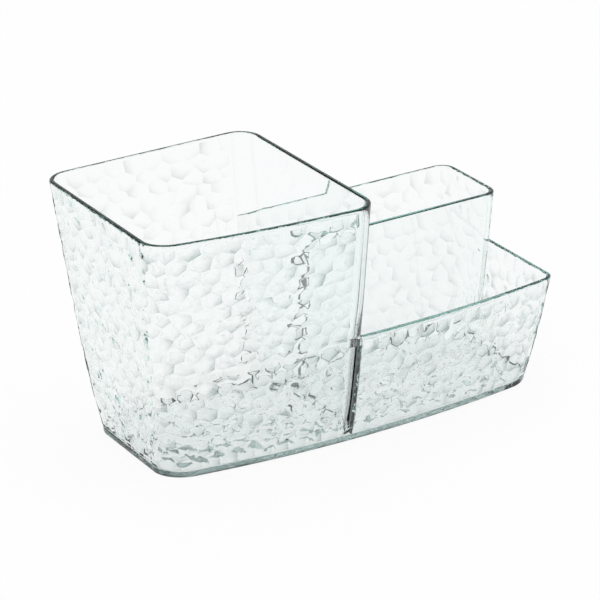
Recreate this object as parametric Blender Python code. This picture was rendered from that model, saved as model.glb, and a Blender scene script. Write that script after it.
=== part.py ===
"""Clear hammered-plastic brush organizer: the walls of three bins standing on one base plate, which is their floor.

The tall bin's wall runs round its front, left and rear, and the shared wall closes it with a corner at each end.
The rear bin's wall and the tray's wall run round their open sides only, and the shared wall and the divider close
them. Everything is in metres, +Z up. X runs along the organizer from the tall bin to the tray, and Y from front to
back. The origin is the middle of the organizer's overall box, at the level of the surface it stands on.
"""

import math

import bmesh
import bpy

MM = 0.001

# Base plate, the foot of the whole organizer and the floor of every bin
BASE_LENGTH = 210.4 * MM
BASE_DEPTH = 83.8 * MM
BASE_THICKNESS = 3.0 * MM
BASE_EDGE = 0.9 * MM
BASE_LIP = 0.5 * MM

# Plan shape shared by the base and the outer walls
FOOT_CORNER_RADIUS = 14.4 * MM
FRONT_ARC_RADIUS = 610.0 * MM
FRONT_CROWN_X = 117.6 * MM

# How the outer walls stand out from their feet: a straight lean, and a curve near the foot
LEFT_LEAN = 0.084
RIGHT_LEAN = 0.045
FRONT_LEAN = 0.141
REAR_LEAN = 0.110
FOOT_CURVE = 3.2 * MM
FOOT_CURVE_HEIGHT = 26.0 * MM

# Walls
WALL = 2.5 * MM
RIM_EDGE = 0.6 * MM
FOOT_EDGE = 0.6 * MM
SEAT_GAP = 0.3 * MM

# Tall bin for brushes
TALL_HEIGHT = 130.0 * MM
TALL_WIDTH = 102.6 * MM
TALL_RIGHT_LEAN = -0.011
TALL_RIM_RADIUS = 12.5 * MM

# Rear bin for combs, with the wall that divides it from the tray
REAR_BIN_HEIGHT = 87.2 * MM
REAR_BIN_DEPTH = 29.8 * MM
DIVIDER_LEAN = 0.066
REAR_BIN_RADIUS = 7.9 * MM

# Front tray for clips and bands, whose rim bridges the groove at the tall bin's corner
TRAY_HEIGHT = 59.6 * MM
TRAY_RIM_RADIUS = 6.5 * MM
BRIDGE_DEPTH = 4.6 * MM

# How far a shape that is cut back starts inside its neighbour, and how far a cutter runs past what it cuts
EMBED = 28.0 * MM
OVERRUN = 10.0 * MM

CORNER_STEPS = 8
FRONT_STEPS = 10
WALL_STEPS = 10
SMOOTH_ANGLE = math.radians(30)

PLASTIC_COLOUR = (0.93, 0.96, 0.955, 1.0)
PLASTIC_ROUGHNESS = 0.05
PLASTIC_IOR = 1.57


def flare(height, lean):
    """How far an outer wall stands out from its foot line at a height above the ground."""
    return FOOT_CURVE * (1 - math.exp(-height / FOOT_CURVE_HEIGHT)) + lean * height


def front_sag(x):
    """How far the bowed front falls back from its crown at a place along the length."""
    across = x - FRONT_CROWN_X
    return FRONT_ARC_RADIUS - math.sqrt(FRONT_ARC_RADIUS**2 - across**2)


def outline(left, right, front, rear, front_radius, rear_radius, bowed=True):
    """A rounded rectangle, counter-clockwise from its front left corner, with the front bowed out if asked."""
    corners = (
        (left + front_radius, front + front_radius, front_radius, math.pi),
        (right - front_radius, front + front_radius, front_radius, 1.5 * math.pi),
        (right - rear_radius, rear - rear_radius, rear_radius, 0.0),
        (left + rear_radius, rear - rear_radius, rear_radius, 0.5 * math.pi),
    )
    points = []
    for number, (centre_x, centre_y, radius, start) in enumerate(corners):
        for step in range(CORNER_STEPS + 1):
            angle = start + 0.5 * math.pi * step / CORNER_STEPS
            points.append((centre_x + radius * math.cos(angle), centre_y + radius * math.sin(angle)))
        if number == 0:
            run = right - left - 2 * radius
            shares = [step / FRONT_STEPS for step in range(1, FRONT_STEPS)]
            points += [(left + radius + run * share, front) for share in shares]
    if bowed:
        points = [(x, y + front_sag(x) * (rear - y) / (rear - front)) for x, y in points]
    return points


def blend(foot, rim, height, rim_height):
    """A size that changes evenly from the ground to the rim."""
    return foot + (rim - foot) * height / rim_height


def outer_left(height):
    """The left wall's outer face at a height."""
    return BASE_LIP - flare(height, LEFT_LEAN)


def outer_right(height):
    """The right wall's outer face at a height."""
    return BASE_LENGTH - BASE_LIP + flare(height, RIGHT_LEAN)


def outer_front(height):
    """The crown of the front wall's outer face at a height."""
    return BASE_LIP - flare(height, FRONT_LEAN)


def outer_rear(height):
    """The rear wall's outer face at a height."""
    return BASE_DEPTH - BASE_LIP + flare(height, REAR_LEAN)


def tall_right(height):
    """The face of the tall bin's right wall that the two lower bins stand against."""
    return BASE_LIP + TALL_WIDTH + TALL_RIGHT_LEAN * height


def divider_front(height):
    """The tray's side of the wall between the rear bin and the tray."""
    return BASE_DEPTH - BASE_LIP - REAR_BIN_DEPTH - DIVIDER_LEAN * height


def tall_section(height, inset):
    """The tall bin's outline at a height, drawn in by an inset."""
    radius = blend(FOOT_CORNER_RADIUS, TALL_RIM_RADIUS, height, TALL_HEIGHT)
    return outline(
        outer_left(height) + inset,
        tall_right(height) - inset,
        outer_front(height) + inset,
        outer_rear(height) - inset,
        radius - inset,
        radius - inset,
    )


def rear_section(height, inset):
    """The rear bin's outline at a height, running into the tall bin's space at its left end."""
    rear_radius = blend(FOOT_CORNER_RADIUS, REAR_BIN_RADIUS, height, REAR_BIN_HEIGHT)
    return outline(
        tall_right(height) - EMBED + inset,
        outer_right(height) - inset,
        divider_front(height) + inset,
        outer_rear(height) - inset,
        REAR_BIN_RADIUS - inset,
        rear_radius - inset,
        bowed=False,
    )


def tray_section(height, inset):
    """The tray's outline at a height, running into both neighbours' space."""
    radius = blend(FOOT_CORNER_RADIUS, TRAY_RIM_RADIUS, height, TRAY_HEIGHT)
    return outline(
        tall_right(height) - EMBED + inset,
        outer_right(height) - inset,
        outer_front(height) + inset,
        divider_front(height) + EMBED - inset,
        radius - inset,
        radius - inset,
    )


def base_section(height, inset):
    """The base plate's outline, drawn in by an inset."""
    return outline(
        inset,
        BASE_LENGTH - inset,
        inset,
        BASE_DEPTH - inset,
        FOOT_CORNER_RADIUS - inset,
        FOOT_CORNER_RADIUS - inset,
    )


def overall_middle():
    """The middle of the organizer's overall box, in plan."""
    tall_rim = tall_section(TALL_HEIGHT - RIM_EDGE, 0.0)
    low_x = min(x for x, _ in tall_rim)
    high_x = outer_right(REAR_BIN_HEIGHT - RIM_EDGE)
    low_y = min(y for _, y in tall_rim)
    high_y = max(y for _, y in tall_rim)
    return (low_x + high_x) / 2, (low_y + high_y) / 2


def loft(name, section, profile):
    """A closed solid through the section's outlines at each (height, inset) of a profile.

    A profile that ends where it starts makes a ring, and any other profile is capped at both ends.
    """
    middle_x, middle_y = overall_middle()
    outlines = [
        [(x - middle_x, y - middle_y, height) for x, y in section(height, inset)]
        for height, inset in profile
    ]
    bm = bmesh.new()
    cap = bm.faces.new([bm.verts.new(point) for point in outlines[0]])
    for points in outlines[1:]:
        cap = bmesh.ops.extrude_discrete_faces(bm, faces=[cap])["faces"][0]
        for vert, point in zip(cap.verts, points):
            vert.co = point
    if profile[0] == profile[-1]:
        bmesh.ops.delete(bm, geom=[cap], context="FACES_ONLY")
        bmesh.ops.remove_doubles(bm, verts=bm.verts, dist=SEAT_GAP / 100)
    else:
        bmesh.ops.holes_fill(bm, edges=bm.edges)
    bmesh.ops.recalc_face_normals(bm, faces=bm.faces)
    mesh = bpy.data.meshes.new(name)
    bm.to_mesh(mesh)
    bm.free()
    mesh.shade_smooth()
    mesh.set_sharp_from_angle(angle=SMOOTH_ANGLE)
    solid = bpy.data.objects.new(name, mesh)
    bpy.context.scene.collection.objects.link(solid)
    return solid


def steps(low, high, count):
    """Evenly spaced values from low to high, with both ends."""
    return [low + (high - low) * step / count for step in range(count + 1)]


def wall_heights(rim):
    """Heights at which a wall's outside is drawn, from just over its foot to just under its rim."""
    return steps(BASE_THICKNESS + SEAT_GAP + FOOT_EDGE, rim - RIM_EDGE, WALL_STEPS)


def wall_profile(rim):
    """Heights and insets of a wall with eased edges: up its outside, over the rim, down its inside and to its foot."""
    foot = BASE_THICKNESS + SEAT_GAP
    outside = [(height, 0.0) for height in wall_heights(rim)]
    inside = [(height, WALL) for height in reversed(wall_heights(rim))]
    start = [(foot, FOOT_EDGE)]
    return start + outside + [(rim, RIM_EDGE), (rim, WALL - RIM_EDGE)] + inside + [(foot, WALL)] + start


def base_profile():
    """Heights and insets of the base plate: its underside, its eased lower edge and its top edge."""
    return [
        (0.0, BASE_EDGE),
        (BASE_EDGE, 0.0),
        (BASE_THICKNESS - BASE_LIP, 0.0),
        (BASE_THICKNESS, BASE_LIP),
    ]


def as_cutter(solid):
    """Marks a solid as one that only cuts others."""
    solid.hide_render = True
    solid.display_type = "WIRE"
    return solid


def envelope_cutter(name, section, rim):
    """The space that a bin takes up, grown by the seat gap, running past its foot and its rim."""
    heights = [0.0] + wall_heights(rim) + [rim + OVERRUN]
    return as_cutter(loft(name, section, [(height, -SEAT_GAP) for height in heights]))


def box_cutter(name, low_x, high_x, low_y, high_y, high_z):
    """A box-shaped space that starts below the foot, placed by its sides in plan."""
    middle_x, middle_y = overall_middle()
    low_z = -OVERRUN
    bm = bmesh.new()
    bmesh.ops.create_cube(bm, size=1.0)
    bmesh.ops.scale(bm, vec=(high_x - low_x, high_y - low_y, high_z - low_z), verts=bm.verts)
    middle = ((low_x + high_x) / 2 - middle_x, (low_y + high_y) / 2 - middle_y, (low_z + high_z) / 2)
    bmesh.ops.translate(bm, vec=middle, verts=bm.verts)
    mesh = bpy.data.meshes.new(name)
    bm.to_mesh(mesh)
    bm.free()
    cutter = bpy.data.objects.new(name, mesh)
    bpy.context.scene.collection.objects.link(cutter)
    return as_cutter(cutter)


def corner_reach(radius):
    """How far a wall flush with a rounded corner runs round it before its inner face meets the corner."""
    grown = radius + SEAT_GAP
    return grown - math.sqrt(grown**2 - (radius - WALL) ** 2)


def front_groove_cutter():
    """The groove at the tall bin's front corner, where the tray's front wall stops short below its rim."""
    return box_cutter(
        "front_groove",
        outer_left(TALL_HEIGHT) - OVERRUN,
        tall_right(0.0) - corner_reach(FOOT_CORNER_RADIUS),
        outer_front(TALL_HEIGHT) - OVERRUN,
        outer_rear(TALL_HEIGHT) + OVERRUN,
        TRAY_HEIGHT - BRIDGE_DEPTH,
    )


def right_groove_cutter():
    """The groove at the rear bin's corner, where the tray's right wall stops short."""
    return box_cutter(
        "right_groove",
        outer_left(TALL_HEIGHT) - OVERRUN,
        outer_right(TALL_HEIGHT) + OVERRUN,
        divider_front(0.0) + corner_reach(REAR_BIN_RADIUS),
        outer_rear(TALL_HEIGHT) + OVERRUN,
        TALL_HEIGHT + OVERRUN,
    )


def side_cutter(name, from_x, to_x):
    """All of the tall bin's space between two places along the length."""
    return box_cutter(
        name,
        from_x,
        to_x,
        outer_front(TALL_HEIGHT) - OVERRUN,
        outer_rear(TALL_HEIGHT) + OVERRUN,
        TALL_HEIGHT + OVERRUN,
    )


def cut(solid, *cutters):
    """Takes each cutter's space out of a solid."""
    for cutter in cutters:
        modifier = solid.modifiers.new("cut_" + cutter.name, "BOOLEAN")
        modifier.operation = "DIFFERENCE"
        modifier.object = cutter


def clear_plastic(name):
    """The clear moulded plastic of a piece."""
    material = bpy.data.materials.new(name)
    material.use_nodes = True
    shader = material.node_tree.nodes["Principled BSDF"]
    shader.inputs["Base Color"].default_value = PLASTIC_COLOUR
    shader.inputs["Roughness"].default_value = PLASTIC_ROUGHNESS
    shader.inputs["Metallic"].default_value = 0.0
    shader.inputs["IOR"].default_value = PLASTIC_IOR
    shader.inputs["Transmission Weight"].default_value = 1.0
    return material


def main():
    """Builds the organizer's five pieces."""
    for obj in list(bpy.data.objects):
        bpy.data.objects.remove(obj)

    base_plate = loft("base_plate", base_section, base_profile())
    tall_wall = loft("tall_bin_wall", tall_section, wall_profile(TALL_HEIGHT))
    shared_wall = loft("shared_wall", tall_section, wall_profile(TALL_HEIGHT))
    rear_wall = loft("rear_bin_wall", rear_section, wall_profile(REAR_BIN_HEIGHT))
    tray_wall = loft("front_tray_wall", tray_section, wall_profile(TRAY_HEIGHT))

    seam_x = tall_right(0.0) - FOOT_CORNER_RADIUS
    low_x = outer_left(TALL_HEIGHT) - OVERRUN
    high_x = tall_right(0.0) + OVERRUN
    cut(tall_wall, side_cutter("right_of_seam", seam_x - SEAT_GAP, high_x))
    cut(shared_wall, side_cutter("left_of_seam", low_x, seam_x))

    tall_space = envelope_cutter("tall_space", tall_section, TALL_HEIGHT)
    rear_space = envelope_cutter("rear_space", rear_section, REAR_BIN_HEIGHT)
    cut(rear_wall, tall_space)
    cut(tray_wall, tall_space, front_groove_cutter(), rear_space, right_groove_cutter())

    for piece in (base_plate, tall_wall, shared_wall, rear_wall, tray_wall):
        piece.data.materials.append(clear_plastic("clear_" + piece.name))


main()
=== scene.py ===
"""Dresses the clear hammered-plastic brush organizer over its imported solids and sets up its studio.

The pieces are a base plate and the walls of a tall bin, a mid-height bin at the rear and a low tray in front.
Everything is in metres in the solids' own frame: X along the length, Y from the front to the rear, Z up.
"""

from __future__ import annotations

import logging
import math
from collections.abc import Callable
from dataclasses import dataclass
from enum import Enum, IntEnum

import bmesh
import bpy
import numpy as np
from mathutils import Matrix, Vector

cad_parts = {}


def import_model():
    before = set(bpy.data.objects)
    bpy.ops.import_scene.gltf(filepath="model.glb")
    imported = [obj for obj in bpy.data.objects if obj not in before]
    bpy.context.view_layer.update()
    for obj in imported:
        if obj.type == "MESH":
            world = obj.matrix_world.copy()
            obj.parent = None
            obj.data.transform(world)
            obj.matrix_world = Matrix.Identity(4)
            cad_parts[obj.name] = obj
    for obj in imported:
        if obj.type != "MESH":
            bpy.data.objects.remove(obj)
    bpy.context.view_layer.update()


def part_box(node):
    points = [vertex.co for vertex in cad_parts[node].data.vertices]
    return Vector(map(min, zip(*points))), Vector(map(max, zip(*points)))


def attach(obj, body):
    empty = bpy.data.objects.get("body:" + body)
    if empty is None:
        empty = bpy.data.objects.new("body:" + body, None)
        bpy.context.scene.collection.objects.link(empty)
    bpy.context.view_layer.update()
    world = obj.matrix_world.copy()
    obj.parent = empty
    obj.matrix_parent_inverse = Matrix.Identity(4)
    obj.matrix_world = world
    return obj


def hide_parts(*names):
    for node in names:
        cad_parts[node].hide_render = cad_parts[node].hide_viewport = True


LOG = logging.getLogger("brush_organizer")
MM = 0.001
BODY = "root"
QUARTER = 0.5 * math.pi
SHADE = "relief_shade"
WHITE = (1.0, 1.0, 1.0, 1.0)
STEP_SLACK = 0.001

Curve = Callable[[np.ndarray], np.ndarray]
Color = tuple[float, float, float, float]


@dataclass(frozen=True)
class Form:
    """The outer form that the base and the walls share, in a plan frame whose origin is the base's corner."""

    middle_x: float
    middle_y: float
    base_length: float = 210.4 * MM
    base_depth: float = 83.8 * MM
    base_top: float = 3.0 * MM
    base_lip: float = 0.5 * MM
    foot_radius: float = 14.4 * MM
    arc_radius: float = 610.0 * MM
    crown_x: float = 117.6 * MM
    lean_left: float = 0.084
    lean_right: float = 0.045
    lean_front: float = 0.141
    lean_rear: float = 0.110
    foot_curve: float = 3.2 * MM
    foot_curve_height: float = 26.0 * MM
    wall: float = 2.5 * MM
    seat_gap: float = 0.3 * MM
    tall_height: float = 130.0 * MM
    tall_width: float = 102.6 * MM
    tall_lean: float = -0.011
    tall_rim_radius: float = 12.5 * MM
    rear_height: float = 87.2 * MM
    rear_depth: float = 29.8 * MM
    divider_lean: float = 0.066
    rear_radius: float = 7.9 * MM
    tray_height: float = 59.6 * MM
    tray_rim_radius: float = 6.5 * MM
    bridge_depth: float = 4.6 * MM

    @classmethod
    def from_frame(cls) -> Form:
        """Places the plan frame by the base plate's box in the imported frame."""
        low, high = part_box("base_plate")
        return cls(middle_x=-low.x, middle_y=cls.base_depth - high.y)

    def flare(self, height: np.ndarray, lean: float) -> np.ndarray:
        """How far an outer wall stands out from its foot line at a height."""
        return self.foot_curve * (1 - np.exp(-height / self.foot_curve_height)) + lean * height

    def left(self, height: np.ndarray) -> np.ndarray:
        """The left wall's outer face."""
        return self.base_lip - self.flare(height, self.lean_left)

    def right(self, height: np.ndarray) -> np.ndarray:
        """The right walls' outer face."""
        return self.base_length - self.base_lip + self.flare(height, self.lean_right)

    def front(self, height: np.ndarray) -> np.ndarray:
        """The crown of the front walls' outer face."""
        return self.base_lip - self.flare(height, self.lean_front)

    def rear(self, height: np.ndarray) -> np.ndarray:
        """The rear walls' outer face."""
        return self.base_depth - self.base_lip + self.flare(height, self.lean_rear)

    def tall_right(self, height: np.ndarray) -> np.ndarray:
        """The tall bin's face that the lower bins stand against."""
        return self.base_lip + self.tall_width + self.tall_lean * height

    def divider(self, height: np.ndarray) -> np.ndarray:
        """The tray's side of the wall between the rear bin and the tray."""
        return self.base_depth - self.base_lip - self.rear_depth - self.divider_lean * height

    def sag(self, x: np.ndarray) -> np.ndarray:
        """How far the bowed front falls back from its crown at places along the length."""
        return self.arc_radius - np.sqrt(self.arc_radius**2 - (x - self.crown_x) ** 2)

    def tall_radius(self, height: np.ndarray) -> np.ndarray:
        """The tall bin's corner radius."""
        return self.foot_radius + (self.tall_rim_radius - self.foot_radius) * height / self.tall_height

    def tray_radius(self, height: np.ndarray) -> np.ndarray:
        """The tray's corner radius."""
        return self.foot_radius + (self.tray_rim_radius - self.foot_radius) * height / self.tray_height

    def rear_corner_radius(self, height: np.ndarray) -> np.ndarray:
        """The rear bin's corner radius at the back, which follows the base plate's at the foot."""
        return self.foot_radius + (self.rear_radius - self.foot_radius) * height / self.rear_height

    def divider_radius(self, height: np.ndarray) -> np.ndarray:
        """The rear bin's corner radius at the divider."""
        return np.full(np.shape(height), self.rear_radius)

    def tall_middle(self, height: np.ndarray) -> np.ndarray:
        """The middle of the tall bin's right side."""
        return (self.front(height) + self.rear(height)) / 2

    def corner_reach(self, radius: float) -> float:
        """How far a wall flush with a rounded corner runs round it before its inner face meets the corner."""
        grown = radius + self.seat_gap
        return grown - math.sqrt(grown**2 - (radius - self.wall) ** 2)

    def groove_x(self) -> float:
        """Where a wall flush with the tall bin's corner is cut off square."""
        return self.tall_right(0.0) - self.corner_reach(self.foot_radius)

    def groove_depth(self, x: np.ndarray, height: np.ndarray, gap: float) -> np.ndarray:
        """Measures the groove at the tall bin's corner, below the faces that are flush with it.

        Args:
            x: places along the length.
            height: their heights.
            gap: the gap to keep to the corner.

        Returns:
            The groove's depth at each place, less the gap.
        """
        radius = self.tall_radius(height)
        across = x - (self.tall_right(height) - radius)
        return radius - np.sqrt(np.maximum((radius + gap) ** 2 - across**2, 0.0))


def no_radius(height: np.ndarray) -> np.ndarray:
    """The radius of a path's end."""
    return np.zeros(np.shape(height))


@dataclass(frozen=True)
class Post:
    """A corner that a wall's outer face turns round, given by the two faces that meet there and its radius.

    Its start and end are the directions in which the outer face looks before and after the turn.
    """

    face_x: Curve
    face_y: Curve
    radius: Curve
    start: float
    end: float

    @classmethod
    def stop(cls, x: Curve, y: Curve, direction: float) -> Post:
        """A path's end, where the outer face turns round nothing."""
        return cls(x, y, no_radius, direction, direction)

    def x(self, height: np.ndarray) -> np.ndarray:
        """The corner's centre along the length, one radius inside its face."""
        side = math.copysign(1.0, math.cos((self.start + self.end) / 2))
        return self.face_x(height) - side * self.radius(height)

    def y(self, height: np.ndarray) -> np.ndarray:
        """The corner's centre from front to rear, one radius inside its face."""
        side = math.copysign(1.0, math.sin((self.start + self.end) / 2))
        return self.face_y(height) - side * self.radius(height)


class Path:
    """The plan path of a wall's outer face: straight runs between posts that it turns round.

    A place along the path is a length measured at a middle height. The same place at another height lies at
    the same share of its run or turn, so a pattern drawn on the path leans and widens with the wall.
    """

    bow_most: float = 1.2

    def __init__(self, form: Form, posts: list[Post], middle: float, fade: Curve | None) -> None:
        """Measures the path.

        Args:
            form: the shared form, for its bow.
            posts: the posts in order.
            middle: the height at which lengths are measured.
            fade: where the front's bow has died out, at a height, or nothing for an unbowed path.
        """
        self.form = form
        self.posts = posts
        self.fade = fade
        self.marks = [0.0]
        height = np.array(middle)
        radii = [float(post.radius(height)) for post in posts]
        for number, post in enumerate(posts):
            self.marks.append(self.marks[-1] + radii[number] * (post.end - post.start))
            if number + 1 == len(posts):
                break
            following = posts[number + 1]
            run_x = float(following.x(height) - post.x(height))
            run_y = float(following.y(height) - post.y(height))
            run = math.hypot(run_x, run_y)
            if not radii[number] or not radii[number + 1]:
                run = math.sqrt(max(run**2 - (radii[number + 1] - radii[number]) ** 2, 0.0))
            self.marks.append(self.marks[-1] + run)

    def turn_start(self, number: int) -> float:
        """Where the turn round a post starts."""
        return self.marks[2 * number]

    def turn_end(self, number: int) -> float:
        """Where the turn round a post ends."""
        return self.marks[2 * number + 1]

    def length(self) -> float:
        """The path's whole length."""
        return self.marks[-1]

    def place(
        self, along: np.ndarray, height: np.ndarray, outward: np.ndarray
    ) -> tuple[np.ndarray, np.ndarray]:
        """Finds points in plan.

        Args:
            along: lengths along the path.
            height: the points' heights.
            outward: how far each point lies outside the outer face.

        Returns:
            The points' x and y.
        """
        turns = [angle for post in self.posts for angle in (post.start, post.end)]
        angles = np.interp(along, self.marks, turns)
        x = np.zeros(along.shape)
        y = np.zeros(along.shape)
        for number, post in enumerate(self.posts):
            marks = np.zeros(len(self.marks))
            marks[2 * number : 2 * number + 2] = 1.0
            weight = np.interp(along, self.marks, marks)
            radius = post.radius(height)
            x += weight * (post.x(height) + radius * np.cos(angles))
            y += weight * (post.y(height) + radius * np.sin(angles))
        x += outward * np.cos(angles)
        y += outward * np.sin(angles)
        if self.fade:
            end = self.fade(height)
            share = (end - y) / (end - self.form.front(height))
            y += self.form.sag(x) * np.clip(share, 0.0, self.bow_most)
        return x, y


@dataclass(frozen=True)
class Hammering:
    """The hammered relief of the outer faces: flat, slightly tilted pits with narrow ridges between them.

    The pits' slopes spread by the tilt and stay within tilt_most_share times it. Each pit has a painted shade
    on the side of shade_angle, in radians from the slab's X, give or take shade_spread. The tall bin's rear
    side and the rear bin keep only rear_shade_share of the shade.
    """

    cell: float = 9.8 * MM
    row_share: float = 0.72
    zigzag_share: float = 0.13
    jitter_share: float = 0.14
    depth: float = 0.30 * MM
    depth_spread: float = 0.45
    tilt: float = 0.07
    tilt_most_share: float = 1.6
    slope_share: float = 0.64
    flat_share: float = 0.46
    least_share: float = 0.1
    first_inset: float = MM / 100
    dimple: float = 0.05 * MM
    shade: float = 0.82
    shade_least: float = 0.2
    shade_bend: float = 2.0
    shade_angle: float = -0.9
    shade_spread: float = 0.6
    rear_shade_share: float = 0.6
    seed: int = 11

    def sheet(
        self, bm: bmesh.types.BMesh, columns: list[float], first: int, last: int, low: float, high: float
    ) -> list[bmesh.types.BMFace]:
        """Adds a flat sheet: smooth strips, and between them staggered rows of cells.

        Args:
            bm: the mesh that the sheet goes into.
            columns: the places of the sheet's columns of points, half a cell apart between first and last.
            first: the first hammered column.
            last: the last hammered column.
            low: the sheet's lower edge.
            high: its upper edge.

        Returns:
            The cells' faces.
        """
        rng = np.random.default_rng(self.seed + len(columns))
        rows = max(1, round((high - low) / (self.cell * self.row_share)))
        pitch = (high - low) / rows
        half = 0.5
        spots = bmesh.ops.create_grid(bm, x_segments=len(columns) - 1, y_segments=rows, size=half)["verts"]
        grid = {}
        for vert in spots:
            grid[vert] = (round((vert.co.x + half) * (len(columns) - 1)), round((vert.co.y + half) * rows))
        shifts = rng.uniform(-1.0, 1.0, (len(columns), rows + 1, 2)) * self.jitter_share * self.cell
        for vert, (column, row) in grid.items():
            x, y = columns[column], low + pitch * row
            inside_x = first < column < last
            inside_y = 0 < row < rows
            if inside_x and inside_y:
                x += shifts[column, row, 0]
                y += self.zigzag_share * self.cell * (1 if (column + row) % 2 == 0 else -1)
            if inside_y and first <= column <= last:
                y += shifts[column, row, 1]
            vert.co = (x, y, 0.0)
        links = []
        for edge in {edge for vert in spots for edge in vert.link_edges}:
            (column, row), (other, other_row) = (grid[vert] for vert in edge.verts)
            if column == other and first < column < last and (column + min(row, other_row)) % 2:
                links.append(edge)
        bmesh.ops.dissolve_edges(bm, edges=links, use_verts=False, use_face_split=False)
        faces = {face for vert in spots for face in vert.link_faces}
        cells = [face for face in faces if columns[first] < face.calc_center_median().x < columns[last]]
        return sorted(cells, key=lambda face: tuple(face.calc_center_median()))

    def press(self, bm: bmesh.types.BMesh, cells: list[bmesh.types.BMFace]) -> None:
        """Presses each cell in as a flat, tilted pit with a sloping border.

        Args:
            bm: the flat sheet's mesh, whose outside faces +Z.
            cells: the cells' faces.
        """
        rng = np.random.default_rng(self.seed + len(cells))
        centres = {cell: cell.calc_center_median() for cell in cells}
        depths = {cell: self.depth * (1 - self.depth_spread * rng.random()) for cell in cells}
        most = self.tilt * self.tilt_most_share
        slopes = {cell: np.clip(rng.normal(0.0, self.tilt, 2), -most, most) for cell in cells}
        inner = {}
        for share in (self.slope_share, self.flat_share / self.slope_share):
            bmesh.ops.inset_individual(bm, faces=cells, thickness=self.first_inset, depth=0.0)
            for number, cell in enumerate(cells):
                for vert in cell.verts:
                    across = (vert.co - centres[cell]) * share
                    pressed = depths[cell] + float(slopes[cell] @ np.array((across.x, across.y)))
                    pressed = max(pressed, self.depth * self.least_share)
                    vert.co = (centres[cell].x + across.x, centres[cell].y + across.y, -pressed)
                    inner[vert] = number
        middles = [centres[cell].copy() for cell in cells]
        poked = bmesh.ops.poke(bm, faces=cells)
        for vert in poked["verts"]:
            vert.co.z -= self.dimple
        self.paint_shade(bm, inner, middles, rng)

    def paint_shade(
        self,
        bm: bmesh.types.BMesh,
        inner: dict[bmesh.types.BMVert, int],
        middles: list[Vector],
        rng: np.random.Generator,
    ) -> None:
        """Paints a faint shade on one side of each pit, crisp at its ridge and fading to its middle.

        Args:
            bm: the mesh.
            inner: the pits' own points, and which pit each belongs to.
            middles: the pits' middles.
            rng: the source of random numbers.
        """
        layer = bm.loops.layers.float[SHADE]
        amounts = [self.shade * rng.uniform(self.shade_least, 1.0) for _ in middles]
        angles = [self.shade_angle + rng.normal(0.0, self.shade_spread) for _ in middles]
        # Painted shade: each pit is darker on the side of its shade angle, as if lit from the other side.
        for vert, number in inner.items():
            side = Vector((math.cos(angles[number]), math.sin(angles[number])))
            for loop in {loop for face in vert.link_faces for loop in face.loops}:
                reach = (loop.vert.co - middles[number]).to_2d().dot(side) / (self.cell / 2)
                loop[layer] = amounts[number] * min(max(reach, 0.0), 1.0) ** self.shade_bend


@dataclass(frozen=True)
class TrayHammering(Hammering):
    """The tray's pits, which are smaller than the bins'."""

    cell: float = 8.1 * MM
    row_share: float = 0.88
    seed: int = 7


@dataclass(frozen=True)
class UndersideHammering(Hammering):
    """The deeper pits with broad slopes under the base plate, which carry no shade."""

    cell: float = 9.5 * MM
    row_share: float = 0.8
    depth: float = 0.62 * MM
    tilt: float = 0.12
    slope_share: float = 0.58
    flat_share: float = 0.28
    shade: float = 0.0
    seed: int = 5


class Operation(Enum):
    """What a Math node does."""

    ADD = "ADD"
    SUBTRACT = "SUBTRACT"
    MULTIPLY = "MULTIPLY"
    MINIMUM = "MINIMUM"
    MAXIMUM = "MAXIMUM"


class MixColor(IntEnum):
    """A Mix node's sockets for colours, by number, because its other sockets have the same names."""

    FACTOR = 0
    FIRST = 6
    SECOND = 7
    RESULT = 2


class Socket:
    """A shader socket on which Python's arithmetic adds Math nodes."""

    def __init__(self, nodes: Nodes, link: bpy.types.NodeSocket) -> None:
        """Wraps a node's output."""
        self.nodes = nodes
        self.link = link

    def _math(self, operation: Operation, first: Socket | float, second: Socket | float) -> Socket:
        """Adds a Math node."""
        return self.nodes.add("ShaderNodeMath", {"operation": operation.value}, {0: first, 1: second})

    def __add__(self, other: Socket | float) -> Socket:
        """Adds."""
        return self._math(Operation.ADD, self, other)

    __radd__ = __add__

    def __sub__(self, other: Socket | float) -> Socket:
        """Subtracts."""
        return self._math(Operation.SUBTRACT, self, other)

    def __rsub__(self, other: Socket | float) -> Socket:
        """Subtracts this from a number."""
        return self._math(Operation.SUBTRACT, other, self)

    def __mul__(self, other: Socket | float) -> Socket:
        """Multiplies."""
        return self._math(Operation.MULTIPLY, self, other)

    __rmul__ = __mul__

    def clamped(self, low: float = 0.0, high: float = 1.0) -> Socket:
        """Keeps a value between two limits."""
        return self._math(Operation.MAXIMUM, self._math(Operation.MINIMUM, self, high), low)


class Nodes:
    """A node tree and the one method that adds nodes to it."""

    def __init__(self, tree: bpy.types.NodeTree) -> None:
        """Empties the tree."""
        self.tree = tree
        self.tree.nodes.clear()

    def add(
        self,
        kind: str,
        settings: dict[str, object] | None = None,
        inputs: dict[str | int, object] | None = None,
        output: str | int = 0,
    ) -> Socket | None:
        """Adds a node.

        Args:
            kind: the node's type.
            settings: the node's own settings, and a ramp's stops under "stops".
            inputs: values or sockets for the node's inputs.
            output: which output to return.

        Returns:
            The wrapped output, or nothing for a node that has none.
        """
        node = self.tree.nodes.new(kind)
        for name, value in (settings or {}).items():
            if name == "stops":
                self._set_stops(node.color_ramp, value)
            else:
                setattr(node, name, value)
        for name, value in (inputs or {}).items():
            target = node.inputs[name]
            if isinstance(value, Socket):
                self.tree.links.new(value.link, target)
            else:
                target.default_value = value
        return Socket(self, node.outputs[output]) if len(node.outputs) else None

    @staticmethod
    def _set_stops(ramp: bpy.types.ColorRamp, stops: list[tuple[float, float]]) -> None:
        """Sets a ramp's stops.

        Args:
            ramp: the ramp.
            stops: each stop's position and grey.
        """
        while len(ramp.elements) < len(stops):
            ramp.elements.new(1.0)
        for element, (position, grey) in zip(ramp.elements, stops):
            element.position = position
            element.color = (grey, grey, grey, 1.0)


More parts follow.
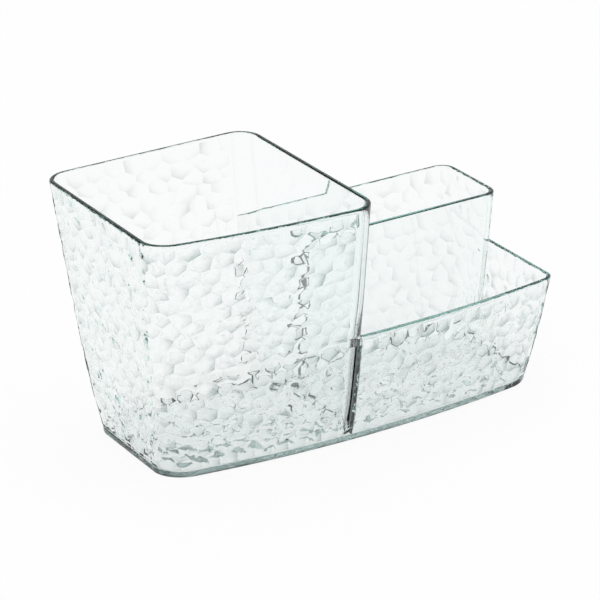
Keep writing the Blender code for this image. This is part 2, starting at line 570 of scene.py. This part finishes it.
@dataclass(frozen=True)
class ClearPlastic:
    """Clear moulded plastic with a faint green-grey body and painted shade edge on and in its pits."""

    tint: Color = (0.48, 0.80, 0.75, 1.0)
    density: float = 24.0
    # the near-black colour of the painted edge shade
    edge_shade_color: Color = (0.012, 0.022, 0.021, 1.0)
    clear: Color = WHITE
    # the colour of the painted shade in the pits
    shaded: Color = (0.0, 0.11, 0.09, 1.0)
    edge_blend: float = 0.5
    edge_start: float = 0.80
    edge_full: float = 0.95
    ior: float = 1.53
    smudge: float = 0.012
    smudge_floor_share: float = 0.4
    smudge_scale: float = 60.0
    smudge_detail: float = 3.0
    roughness_most: float = 0.2
    ripple: float = 0.03
    ripple_depth: float = 0.1 * MM
    ripple_scale: float = 260.0
    ripple_detail: float = 1.0

    def make(self, name: str) -> bpy.types.Material:
        """Makes the material.

        Args:
            name: the material's name.

        Returns:
            The material, with its surface and its volume.
        """
        material = bpy.data.materials.new(name)
        material.use_nodes = True
        nodes = Nodes(material.node_tree)
        place = nodes.add("ShaderNodeTexCoord", output="Object")
        smudges = nodes.add(
            "ShaderNodeTexNoise",
            {"noise_dimensions": "3D"},
            {"Vector": place, "Scale": self.smudge_scale, "Detail": self.smudge_detail},
        )
        roughness = smudges * (2 * self.smudge) - self.smudge * self.smudge_floor_share
        roughness = roughness.clamped(0.0, self.roughness_most)
        ripples = nodes.add(
            "ShaderNodeTexNoise",
            {"noise_dimensions": "3D"},
            {"Vector": place, "Scale": self.ripple_scale, "Detail": self.ripple_detail},
        )
        bump = nodes.add(
            "ShaderNodeBump", {}, {"Strength": self.ripple, "Distance": self.ripple_depth, "Height": ripples}
        )
        # Painted shade: the relief_shade attribute mixes the clear colour towards the shaded one on one side
        # of each pit.
        shade = nodes.add("ShaderNodeAttribute", {"attribute_name": SHADE}, output="Fac")
        body = nodes.add(
            "ShaderNodeMix",
            {"data_type": "RGBA"},
            {MixColor.FACTOR: shade, MixColor.FIRST: self.clear, MixColor.SECOND: self.shaded},
            MixColor.RESULT,
        )
        shader = nodes.add(
            "ShaderNodeBsdfPrincipled",
            {},
            {
                "Base Color": body,
                "Metallic": 0.0,
                "IOR": self.ior,
                "Transmission Weight": 1.0,
                "Roughness": roughness,
                "Normal": bump,
            },
        )
        # Painted edge shade: a near-black diffuse is mixed in where the plastic is seen edge on, darkening
        # its edges.
        facing = nodes.add("ShaderNodeLayerWeight", {}, {"Blend": self.edge_blend}, output="Facing")
        edge = nodes.add(
            "ShaderNodeMapRange",
            {"interpolation_type": "SMOOTHSTEP"},
            {"Value": facing, "From Min": self.edge_start, "From Max": self.edge_full},
        )
        dark = nodes.add("ShaderNodeBsdfDiffuse", {}, {"Color": self.edge_shade_color})
        surface = nodes.add("ShaderNodeMixShader", {}, {0: edge, 1: shader, 2: dark})
        volume = nodes.add("ShaderNodeVolumeAbsorption", {}, {"Color": self.tint, "Density": self.density})
        nodes.add("ShaderNodeOutputMaterial", {}, {"Surface": surface, "Volume": volume})
        return material


@dataclass(frozen=True)
class PlatePlastic(ClearPlastic):
    """The base plate's plastic, greyer through its depth and faintly tinted on its surface."""

    tint: Color = (0.60, 0.76, 0.74, 1.0)
    density: float = 17.0
    clear: Color = (0.945, 0.985, 0.975, 1.0)


@dataclass
class Piece:
    """A clear piece of the organizer, with its plastic and the solids that it stands for."""

    form: Form
    hammering: Hammering = Hammering()
    plastic: ClearPlastic = ClearPlastic()
    name: str = ""
    solids: tuple[str, ...] = ()
    slot: str = ""
    smooth_angle: float = 50.0

    def build(self) -> bpy.types.Object:
        """Builds the piece."""
        raise NotImplementedError

    def finish(self, bm: bmesh.types.BMesh) -> bpy.types.Object:
        """Turns a closed mesh into the piece's object, with outward faces and smooth shading.

        Args:
            bm: the mesh, which is freed.

        Returns:
            The object.
        """
        bmesh.ops.recalc_face_normals(bm, faces=bm.faces)
        mesh = bpy.data.meshes.new(self.name)
        bm.to_mesh(mesh)
        bm.free()
        mesh.shade_smooth()
        mesh.set_sharp_from_angle(angle=math.radians(self.smooth_angle))
        piece = bpy.data.objects.new(self.name, mesh)
        bpy.context.scene.collection.objects.link(piece)
        return piece

    def dress(self, piece: bpy.types.Object) -> None:
        """Gives the piece its plastic and puts it in its solids' place.

        Args:
            piece: the piece's object.
        """
        piece.data.materials.append(self.plastic.make(self.slot))
        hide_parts(*self.solids)
        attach(piece, BODY)
        solids = " and ".join(self.solids)
        LOG.info("%s: %d faces, in place of %s", piece.name, len(piece.data.polygons), solids)


def spaced(low: float, high: float, step: float) -> list[float]:
    """Evenly spaced values from low to high, at most about the given step apart."""
    count = max(1, math.ceil((high - low) / step - STEP_SLACK))
    return [low + (high - low) * index / count for index in range(count + 1)]


@dataclass
class Wall(Piece):
    """A clear wall, made as a flat slab with pits in its outside and then wrapped round a plan path.

    The slab's X is the place along the path, its Y the height, and its Z how far a point lies outside the
    outer face.
    """

    outer_edge: float = 0.75 * MM
    inner_edge: float = 0.6 * MM
    foot_edge: float = 0.7 * MM
    smooth_band: float = 1.3 * MM
    foot_band_share: float = 0.25
    smooth_step: float = 3.4 * MM
    step_run: float = 0.0
    thin_least: float = 0.01 * MM
    inner_step: float = 9.0 * MM
    edge_steps: int = 4
    weld: float = MM / 500

    @property
    def rim(self) -> float:
        """The height of the wall's rim."""
        raise NotImplementedError

    @property
    def foot(self) -> float:
        """The height of the wall's lower end, just above the base plate."""
        return self.form.base_top + self.form.seat_gap

    def path(self) -> Path:
        """The wall's plan path."""
        raise NotImplementedError

    def hammered(self, path: Path) -> tuple[float, float]:
        """Where along the path the hammered outside starts and ends."""
        raise NotImplementedError

    def shade_share(self, path: Path, along: float) -> float:
        """How much of the pits' painted shade a place along the path keeps."""
        return 1.0

    def limit(self, x: np.ndarray, height: np.ndarray) -> np.ndarray:
        """How deep the wall may reach below its outer face."""
        return np.full(x.shape, self.form.wall)

    def columns(self, path: Path) -> tuple[list[float], int, int]:
        """Places the slab's columns of points.

        Args:
            path: the wall's plan path.

        Returns:
            The columns' places along the path, and the numbers of the first and last hammered one.
        """
        start, end = self.hammered(path)
        marks = sorted({0.0, *path.marks, start, end})
        marks = [mark for mark, other in zip(marks, [*marks[1:], math.inf]) if other - mark > self.weld]
        if self.step_run:
            marks = sorted({*marks, start - self.step_run, end + self.step_run})
        before = [0.0]
        after = [end]
        for low, high in zip(marks, marks[1:]):
            if high <= start + self.weld:
                before += spaced(low, high, self.smooth_step)[1:]
            elif low >= end - self.weld:
                after += spaced(low, high, self.smooth_step)[1:]
        half_cells = 2 * max(1, round((end - start) / self.hammering.cell))
        inside = [start + (end - start) * index / half_cells for index in range(half_cells + 1)]
        first = len(before) - 1
        return before[:-1] + inside + after[1:], first, first + half_cells

    def sheet(
        self, columns: list[float], first: int, last: int, low: float, high: float
    ) -> bmesh.types.BMesh:
        """Makes the flat outside, with finer steps along its upper and lower edges.

        Args:
            columns: the columns' places.
            first: the first hammered column.
            last: the last hammered column.
            low: the sheet's lower edge.
            high: its upper edge.

        Returns:
            The sheet's mesh.
        """
        bm = bmesh.new()
        bm.loops.layers.float.new(SHADE)
        cells = self.hammering.sheet(bm, columns, first, last, low, high)
        level = [
            edge
            for edge in bm.edges
            if edge.is_boundary and abs(edge.verts[0].co.y - edge.verts[1].co.y) < self.weld
        ]
        bmesh.ops.bisect_edges(bm, edges=level, cuts=1)
        self.sink(bm, columns, first, last)
        self.hammering.press(bm, cells)
        return bm

    def sink(self, bm: bmesh.types.BMesh, columns: list[float], first: int, last: int) -> None:
        """Leaves the smooth strips flush; a wall whose strips lie deeper sinks them here."""

    def trim(self, bm: bmesh.types.BMesh) -> None:
        """Leaves the wrapped wall as it is; a wall that carries a further part adds it here."""

    def section(self, low: float) -> list[tuple[float, float]]:
        """Follows the wall from the sheet's upper edge over the rim and down the inside to its lower edge.

        Args:
            low: the sheet's lower edge.

        Returns:
            Heights, and depths below the outer face.
        """
        wall = self.form.wall
        turns = [QUARTER * step / self.edge_steps for step in range(self.edge_steps + 1)]
        arc = [(1 - math.sin(turn), 1 - math.cos(turn)) for turn in turns]
        outer = [(self.rim - self.outer_edge * left, self.outer_edge * gone) for left, gone in arc]
        inner = [(self.rim - self.inner_edge * gone, wall - self.inner_edge * left) for left, gone in arc]
        inside = spaced(self.foot, self.rim - self.inner_edge, self.inner_step)[-2::-1]
        down = [(height, wall) for height in inside]
        back = [(self.foot + self.foot_edge * gone, self.foot_edge * left) for left, gone in arc]
        return [*outer, *inner, *down, *back, (low, 0.0)]

    def build(self) -> bpy.types.Object:
        """Builds the wall as a flat slab and wraps it.

        Returns:
            The wall's object.
        """
        path = self.path()
        columns, first, last = self.columns(path)
        low = self.foot + self.foot_edge + self.smooth_band * self.foot_band_share
        high = self.rim - self.outer_edge - self.smooth_band
        bm = self.sheet(columns, first, last, low, high)
        outside = set(bm.faces)
        edges = [edge for edge in bm.edges if all(abs(vert.co.y - high) < self.weld for vert in edge.verts)]
        for height, depth in self.section(low):
            made = bmesh.ops.extrude_edge_only(bm, edges=edges)["geom"]
            verts = {part for part in made if isinstance(part, bmesh.types.BMVert)}
            edges = [part for part in made if isinstance(part, bmesh.types.BMEdge)]
            edges = [edge for edge in edges if verts.issuperset(edge.verts)]
            for vert in verts:
                vert.co.y = height
                vert.co.z = -depth
        # Painted shade: the pits' shade stays on the outside alone, scaled by shade_share; other faces carry
        # none.
        shade = bm.loops.layers.float[SHADE]
        for face in bm.faces:
            for loop in face.loops:
                loop[shade] = loop[shade] * self.shade_share(path, loop.vert.co.x) if face in outside else 0.0
        bmesh.ops.remove_doubles(bm, verts=bm.verts, dist=self.weld)
        self.wrap(bm, path)
        bmesh.ops.remove_doubles(bm, verts=bm.verts, dist=self.weld)
        bmesh.ops.holes_fill(bm, edges=[edge for edge in bm.edges if edge.is_boundary])
        self.trim(bm)
        return self.finish(bm)

    def wrap(self, bm: bmesh.types.BMesh, path: Path) -> None:
        """Moves every point of the flat slab to its place round the path.

        Args:
            bm: the slab's mesh.
            path: the plan path.
        """
        flat = np.array([vert.co for vert in bm.verts])
        along, height, outward = flat[:, 0], flat[:, 1], flat[:, 2]
        x, _ = path.place(along, height, np.zeros(outward.shape))
        outward = np.maximum(outward, -self.limit(x, height))
        x, y = path.place(along, height, outward)
        for vert, place_x, place_y in zip(bm.verts, x, y):
            vert.co = (place_x - self.form.middle_x, place_y - self.form.middle_y, vert.co.y)


@dataclass
class TallBinWall(Wall):
    """The closed wall for brushes: hammered but for its right side and the corners there.

    The hammered skin ends in a wavy step, and the smooth corners rise from the step's foot to the right side.
    """

    name: str = "tall_bin_shell"
    solids: tuple[str, ...] = ("tall_bin_wall", "shared_wall")
    slot: str = "clear_tall_bin"
    step_run: float = 0.35 * MM
    step_depth: float = 0.8 * MM
    step_wave: float = 0.9 * MM
    step_top: float = 80.0 * MM
    step_full: float = 58.0 * MM
    wave_parts: int = 3
    rise_share: float = 0.65

    @property
    def rim(self) -> float:
        """The height of the wall's rim."""
        return self.form.tall_height

    def path(self) -> Path:
        """Runs round the bin from the middle of its right side.

        Returns:
            The plan path.
        """
        form = self.form
        posts = [
            Post.stop(form.tall_right, form.tall_middle, 0.0),
            Post(form.tall_right, form.rear, form.tall_radius, 0.0, QUARTER),
            Post(form.left, form.rear, form.tall_radius, QUARTER, 2 * QUARTER),
            Post(form.left, form.front, form.tall_radius, 2 * QUARTER, 3 * QUARTER),
            Post(form.tall_right, form.front, form.tall_radius, 3 * QUARTER, 4 * QUARTER),
            Post.stop(form.tall_right, form.tall_middle, 4 * QUARTER),
        ]
        return Path(form, posts, self.rim / 2, form.rear)

    def hammered(self, path: Path) -> tuple[float, float]:
        """From the rear right corner's end to the front right corner's start."""
        return path.turn_end(1), path.turn_start(4)

    def shade_share(self, path: Path, along: float) -> float:
        """The rear side's pits carry a fainter painted shade than the left and front sides'."""
        shares = (self.hammering.rear_shade_share, 1.0)
        return float(np.interp(along, (path.turn_start(2), path.turn_end(2)), shares))

    def sink(self, bm: bmesh.types.BMesh, columns: list[float], first: int, last: int) -> None:
        """Sinks the right corners below the hammered skin, whose ends it makes wavy.

        Args:
            bm: the flat sheet.
            columns: the columns' places.
            first: the first hammered column.
            last: the last hammered column.
        """
        rng = np.random.default_rng(self.hammering.seed)
        turn = self.form.tall_radius(self.rim / 2) * QUARTER * self.rise_share
        apart = self.hammering.cell * self.hammering.row_share / self.wave_parts
        start = columns[first]
        end = columns[last]
        inner = [vert for vert in bm.verts if not any(edge.is_boundary for edge in vert.link_edges)]
        inner.sort(key=lambda vert: vert.co.y)
        for vert in inner:
            out = max(start - vert.co.x, vert.co.x - end)
            if out > self.weld:
                risen = max(1 - (out - self.step_run) / turn, 0.0)
                vert.co.z = -self.step_depth * self.step_left(vert.co.y) * risen
        for side in (start, end):
            shift = 0.0
            level = -math.inf
            for vert in [vert for vert in inner if abs(vert.co.x - side) < self.step_run + self.weld]:
                if vert.co.y - level > apart:
                    shift = rng.uniform(-1.0, 1.0) * self.step_wave
                    level = vert.co.y
                vert.co.x += shift * self.step_left(vert.co.y)

    def step_left(self, height: float) -> float:
        """How much of the step is left at a height: all of it beside the tray, and none near the rim."""
        return min(max((self.step_top - height) / (self.step_top - self.step_full), 0.0), 1.0)


@dataclass
class RearBinWall(Wall):
    """The mid-height wall at the rear: smooth divider, hammered right side and rear."""

    name: str = "rear_bin_shell"
    solids: tuple[str, ...] = ("rear_bin_wall",)
    slot: str = "clear_rear_bin"
    tip_gap: float = 0.06 * MM
    tip_run: float = 2.0 * MM
    tip_share: float = 0.16
    hammered_end_share: float = 0.55

    @property
    def rim(self) -> float:
        """The height of the wall's rim."""
        return self.form.rear_height

    def start(self, height: np.ndarray) -> np.ndarray:
        """Where the divider starts at the tall bin."""
        return self.form.tall_right(height) + self.form.seat_gap

    def tip(self, height: np.ndarray) -> np.ndarray:
        """Where the rear wall thins out against the tall bin's corner."""
        return self.form.tall_right(height) - self.form.tall_radius(height) * (1 - self.tip_share)

    def path(self) -> Path:
        """Runs from the divider's end at the tall bin round to the rear wall's tip in the tall bin's groove.

        Returns:
            The plan path.
        """
        form = self.form
        posts = [
            Post.stop(self.start, form.divider, -QUARTER),
            Post(form.right, form.divider, form.divider_radius, -QUARTER, 0.0),
            Post(form.right, form.rear, form.rear_corner_radius, 0.0, QUARTER),
            Post.stop(self.tip, form.rear, QUARTER),
        ]
        return Path(form, posts, self.rim / 2, None)

    def hammered(self, path: Path) -> tuple[float, float]:
        """From the divider's corner to the tall bin's groove."""
        smooth = self.form.tall_radius(self.rim / 2) * (self.hammered_end_share - self.tip_share)
        return path.turn_end(1), path.length() - smooth

    def shade_share(self, path: Path, along: float) -> float:
        """Both its hammered sides carry a painted shade as faint as the tall bin's rear side's."""
        return self.hammering.rear_shade_share

    def limit(self, x: np.ndarray, height: np.ndarray) -> np.ndarray:
        """The wall thins out over the tall bin's corner."""
        thin = np.clip(self.form.groove_depth(x, height, self.tip_gap), self.thin_least, self.form.wall)
        return np.where(x < self.form.groove_x() + self.tip_run, thin, self.form.wall)


@dataclass
class TrayWall(Wall):
    """The low wall at the front: hammered bowed front and right side."""

    hammering: Hammering = TrayHammering()
    name: str = "front_tray_shell"
    solids: tuple[str, ...] = ("front_tray_wall",)
    slot: str = "clear_tray"
    bridge_gap: float = 0.06 * MM
    bridge_steps: int = 6

    @property
    def rim(self) -> float:
        """The height of the wall's rim."""
        return self.form.tray_height

    def start(self, height: np.ndarray) -> np.ndarray:
        """Where the front wall starts, square in the tall bin's groove."""
        return np.full(np.shape(height), self.form.groove_x())

    def end(self, height: np.ndarray) -> np.ndarray:
        """Where the right wall ends, square in the rear bin's groove."""
        end = self.form.divider(0.0) + self.form.corner_reach(self.form.rear_radius)
        return np.full(np.shape(height), end)

    def path(self) -> Path:
        """Runs from the tall bin's groove round to the rear bin's.

        Returns:
            The plan path.
        """
        form = self.form
        posts = [
            Post.stop(self.start, form.front, -QUARTER),
            Post(form.right, form.front, form.tray_radius, -QUARTER, 0.0),
            Post.stop(form.right, self.end, 0.0),
        ]
        return Path(form, posts, self.rim / 2, self.end)

    def hammered(self, path: Path) -> tuple[float, float]:
        """All along."""
        return 0.0, path.length()

    def trim(self, bm: bmesh.types.BMesh) -> None:
        """Adds the wedge that bridges the groove at the tall bin's corner under the rim.

        Args:
            bm: the wall's mesh.
        """
        form = self.form
        gap = self.bridge_gap
        edge = self.outer_edge / 2
        face = None
        for height, inset in ((self.rim - form.bridge_depth, 0.0), (self.rim - edge, 0.0), (self.rim, edge)):
            radius = form.tall_radius(height)
            tip = form.tall_right(height) - radius + math.sqrt((radius + gap) ** 2 - radius**2) + gap + inset
            x = np.linspace(form.groove_x() - gap - inset, tip, self.bridge_steps)
            depth = np.clip(form.groove_depth(x, height, gap), inset + self.thin_least, form.wall)
            front = form.front(height) + form.sag(x)
            points = [(x[-1], front[-1] + inset), (x[0], front[0] + inset), *zip(x, front + depth)]
            coords = [(px - form.middle_x, py - form.middle_y, height) for px, py in points]
            if face is None:
                face = bm.faces.new([bm.verts.new(point) for point in coords])
            else:
                face = bmesh.ops.extrude_discrete_faces(bm, faces=[face])["faces"][0]
                for vert, point in zip(face.verts, coords):
                    vert.co = point
        bmesh.ops.holes_fill(bm, edges=[edge for edge in bm.edges if edge.is_boundary])


@dataclass
class BasePlate(Piece):
    """The plate under the bins and their floor, with rounded corners and a bowed front edge."""

    hammering: Hammering = UndersideHammering()
    plastic: ClearPlastic = PlatePlastic()
    name: str = "clear_base_plate"
    solids: tuple[str, ...] = ("base_plate",)
    slot: str = "clear_base"
    edge: float = 0.9 * MM
    round_steps: int = 4
    corner_steps: int = 20
    front_steps: int = 60
    margin_share: float = 0.22

    def outline(self, inset: float) -> np.ndarray:
        """Draws the plate's outline.

        Args:
            inset: how far it is drawn in.

        Returns:
            The outline's points.
        """
        form = self.form
        radius = form.foot_radius
        points = []
        corners = ((0.0, 0.0), (1.0, 0.0), (1.0, 1.0), (0.0, 1.0))
        for number, (share_x, share_y) in enumerate(corners):
            centre_x = radius + (form.base_length - 2 * radius) * share_x
            centre_y = radius + (form.base_depth - 2 * radius) * share_y
            for step in range(self.corner_steps + 1):
                angle = math.pi + QUARTER * (number + step / self.corner_steps)
                reach = radius - inset
                points.append((centre_x + reach * math.cos(angle), centre_y + reach * math.sin(angle)))
            if number == 0:
                run = form.base_length - 2 * radius
                shares = [step / self.front_steps for step in range(1, self.front_steps)]
                points += [(radius + run * share, inset) for share in shares]
        places = np.array(points)
        rear = form.base_depth - inset
        places[:, 1] += form.sag(places[:, 0]) * (rear - places[:, 1]) / (rear - inset)
        return places

    def build(self) -> bpy.types.Object:
        """Builds the plate.

        Returns:
            The plate's object.
        """
        form = self.form
        turns = [QUARTER * step / self.round_steps for step in range(1, self.round_steps + 1)]
        levels = [(self.edge * (1 - math.cos(turn)), self.edge * (1 - math.sin(turn))) for turn in turns]
        levels += [
            (form.base_top - form.base_lip * (1 - math.sin(turn)), form.base_lip * (1 - math.cos(turn)))
            for turn in [0.0, *turns]
        ]
        bm = bmesh.new()
        bm.loops.layers.float.new(SHADE)
        face = bm.faces.new([bm.verts.new(self.spot(point, 0.0)) for point in self.outline(self.edge)])
        for height, inset in levels:
            face = bmesh.ops.extrude_discrete_faces(bm, faces=[face])["faces"][0]
            for vert, point in zip(face.verts, self.outline(inset)):
                vert.co = self.spot(point, height)
        bmesh.ops.delete(bm, geom=[face], context="FACES_ONLY")
        upper = [edge for edge in bm.edges if edge.is_boundary and edge.verts[0].co.z > 0]
        bmesh.ops.holes_fill(bm, edges=upper)
        self.underside(bm)
        return self.finish(bm)

    def underside(self, bm: bmesh.types.BMesh) -> None:
        """Closes the plate's lower side with a sheet of pits that keeps clear of its edge.

        Args:
            bm: the plate's mesh, open at its lower side.
        """
        form = self.form
        pattern = self.hammering
        half_cells = 2 * round(form.base_length / pattern.cell)
        columns = [form.base_length * index / half_cells - form.middle_x for index in range(half_cells + 1)]
        low, high = -form.middle_y, form.base_depth - form.middle_y
        cells = pattern.sheet(bm, columns, 0, half_cells, low, high)
        kept = [cell for cell in cells if self.is_inside(cell, pattern.cell * self.margin_share)]
        bmesh.ops.delete(bm, geom=[cell for cell in cells if cell not in kept], context="FACES")
        gap = [edge for edge in bm.edges if edge.is_boundary]
        bmesh.ops.triangle_fill(bm, use_beauty=True, edges=gap, normal=(0.0, 0.0, -1.0))
        pattern.press(bm, kept)
        for vert in bm.verts:
            vert.co.z = abs(vert.co.z)

    def is_inside(self, cell: bmesh.types.BMFace, margin: float) -> bool:
        """Tests whether all of a cell lies well inside the plate's outline.

        Args:
            cell: the cell's face.
            margin: how far inside it has to lie.

        Returns:
            Whether it does.
        """
        form = self.form
        middle = form.base_depth / 2
        radius = form.foot_radius
        for vert in cell.verts:
            x, y = vert.co.x + form.middle_x, vert.co.y + form.middle_y
            share = (form.base_depth - y) / form.base_depth
            y -= float(form.sag(np.array(x))) * max(share, 0.0)
            across = max(abs(x - form.base_length / 2) - form.base_length / 2 + radius, 0.0)
            along = max(abs(y - middle) - middle + radius, 0.0)
            if math.hypot(across, along) > radius - margin:
                return False
        return True

    def spot(self, point: np.ndarray, height: float) -> tuple[float, float, float]:
        """A plan point at a height, in the frame."""
        return point[0] - self.form.middle_x, point[1] - self.form.middle_y, height


@dataclass(frozen=True)
class Camera:
    """The photograph's view: angles in degrees, lengths in metres and the sensor in millimetres."""

    azimuth: float = 31.145
    elevation: float = 24.191
    roll: float = -1.056
    focal_px: float = 3193.4
    distance: float = 1.5848
    shift_right: float = 0.00448
    shift_up: float = 0.000334
    target: tuple[float, float, float] = (0.110, 0.05906, 0.050)
    image_px: float = 600.0
    sensor: float = 36.0
    nearest: float = 0.01

    def make(self, form: Form) -> None:
        """Adds the camera and makes it the scene's.

        Args:
            form: the shared form, for its place in the frame.
        """
        azimuth = math.radians(self.azimuth)
        elevation = math.radians(self.elevation)
        roll = math.radians(self.roll)
        back = Vector((
            -math.sin(azimuth) * math.cos(elevation),
            -math.cos(azimuth) * math.cos(elevation),
            math.sin(elevation),
        ))
        right = (-back).cross(Vector((0.0, 0.0, 1.0))).normalized()
        up = right.cross(-back)
        turned_right = right * math.cos(roll) + up * math.sin(roll)
        turned_up = up * math.cos(roll) - right * math.sin(roll)
        place = Vector(self.target) - Vector((form.middle_x, form.middle_y, 0.0)) + back * self.distance
        place = place - turned_right * self.shift_right - turned_up * self.shift_up
        data = bpy.data.cameras.new("photo_camera")
        data.sensor_width = self.sensor
        data.lens = self.focal_px / self.image_px * self.sensor
        data.clip_start = self.nearest
        camera = bpy.data.objects.new("photo_camera", data)
        rows = Matrix((turned_right, turned_up, back)).transposed().to_4x4()
        camera.matrix_world = Matrix.Translation(place) @ rows
        bpy.context.scene.collection.objects.link(camera)
        bpy.context.scene.camera = camera


@dataclass(frozen=True)
class Lamp:
    """A soft lamp that faces the object, with its share of the studio's power."""

    name: str
    place: tuple[float, float, float]
    power_share: float


@dataclass(frozen=True)
class Studio:
    """A plain pale floor, soft lamps and a pale surround that is dark overhead."""

    floor_size: float = 6.0
    floor_drop: float = 0.0004
    paper: float = 0.9
    glow_seen: float = 0.92
    glow_through: float = 0.86
    lamp_power: float = 8.0
    lamp_size: float = 1.6
    lamps: tuple[Lamp, ...] = (
        Lamp("lamp_left", (-1.6, -1.2, 1.6), 1.0),
        Lamp("lamp_right", (1.7, -0.9, 1.5), 0.8),
        Lamp("lamp_top", (0.0, 0.6, 2.4), 1.2),
    )
    surround: float = 0.75
    horizon_stops: tuple[tuple[float, float], ...] = ((0.0, 1.0), (0.30, 0.97), (0.60, 0.03))
    clear_bounces: int = 48
    glossy_bounces: int = 24
    diffuse_bounces: int = 4

    def make(self) -> None:
        """Builds the floor, the lamps and the surround."""
        self._floor()
        self._lamps()
        self._surround()
        scene = bpy.context.scene
        scene.view_settings.view_transform = "Standard"
        scene.cycles.max_bounces = self.clear_bounces
        scene.cycles.transmission_bounces = self.clear_bounces
        scene.cycles.glossy_bounces = self.glossy_bounces
        scene.cycles.diffuse_bounces = self.diffuse_bounces

    @staticmethod
    def _rays(nodes: Nodes) -> tuple[Socket, Socket]:
        """Tells the rays apart.

        Args:
            nodes: the tree that asks.

        Returns:
            One for rays straight from the camera, and one for rays that were only reflected or refracted.
        """
        camera = nodes.add("ShaderNodeLightPath", output="Is Camera Ray")
        glossy = nodes.add("ShaderNodeLightPath", output="Is Glossy Ray")
        through = nodes.add("ShaderNodeLightPath", output="Is Transmission Ray")
        scattered = nodes.add("ShaderNodeLightPath", output="Diffuse Depth").clamped()
        return camera, (glossy + through).clamped() * (1.0 - scattered)

    def _floor(self) -> None:
        """Adds the floor, which shows white to the camera and keeps the object's shadow."""
        bm = bmesh.new()
        bmesh.ops.create_grid(bm, x_segments=1, y_segments=1, size=self.floor_size / 2)
        bmesh.ops.translate(bm, vec=(0.0, 0.0, -self.floor_drop), verts=bm.verts)
        mesh = bpy.data.meshes.new("studio_floor")
        bm.to_mesh(mesh)
        bm.free()
        floor = bpy.data.objects.new("studio_floor", mesh)
        bpy.context.scene.collection.objects.link(floor)
        material = bpy.data.materials.new("studio_floor")
        material.use_nodes = True
        nodes = Nodes(material.node_tree)
        paper = nodes.add("ShaderNodeBsdfDiffuse", {}, {"Color": (self.paper, self.paper, self.paper, 1.0)})
        camera, through = self._rays(nodes)
        glow = nodes.add("ShaderNodeEmission", {}, {"Color": WHITE, "Strength": 1.0})
        share = (camera * self.glow_seen + through * self.glow_through).clamped()
        surface = nodes.add("ShaderNodeMixShader", {}, {0: share, 1: paper, 2: glow})
        nodes.add("ShaderNodeOutputMaterial", {}, {"Surface": surface})
        mesh.materials.append(material)

    def _lamps(self) -> None:
        """Adds a soft lamp on each side and one overhead."""
        for lamp in self.lamps:
            data = bpy.data.lights.new(lamp.name, "AREA")
            data.energy = self.lamp_power * lamp.power_share
            data.size = self.lamp_size
            light = bpy.data.objects.new(lamp.name, data)
            light.location = lamp.place
            light.rotation_euler = (-Vector(lamp.place)).to_track_quat("-Z", "Y").to_euler()
            bpy.context.scene.collection.objects.link(light)

    def _surround(self) -> None:
        """Makes the world white to the camera, and to reflections white at the horizon and dark overhead."""
        world = bpy.data.worlds.new("studio_surround")
        bpy.context.scene.world = world
        world.use_nodes = True
        nodes = Nodes(world.node_tree)
        camera, through = self._rays(nodes)
        way = nodes.add("ShaderNodeTexCoord", output="Generated")
        rise = nodes.add("ShaderNodeSeparateXYZ", {}, {0: way}, output="Z")
        sky = nodes.add("ShaderNodeValToRGB", {"stops": list(self.horizon_stops)}, {0: rise.clamped()})
        plain = (1.0 - camera) * (1.0 - through) * self.surround
        strength = camera + through * sky + plain
        background = nodes.add("ShaderNodeBackground", {}, {"Color": WHITE, "Strength": strength})
        nodes.add("ShaderNodeOutputWorld", {}, {"Surface": background})


def main() -> None:
    """Builds the organizer's pieces in order, then the camera and the studio."""
    logging.basicConfig(level=logging.INFO, format="%(name)s: %(message)s")
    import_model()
    form = Form.from_frame()
    for maker in (BasePlate(form), TallBinWall(form), RearBinWall(form), TrayWall(form)):
        maker.dress(maker.build())
    Camera().make(form)
    Studio().make()


if __name__ == "__main__":
    main()
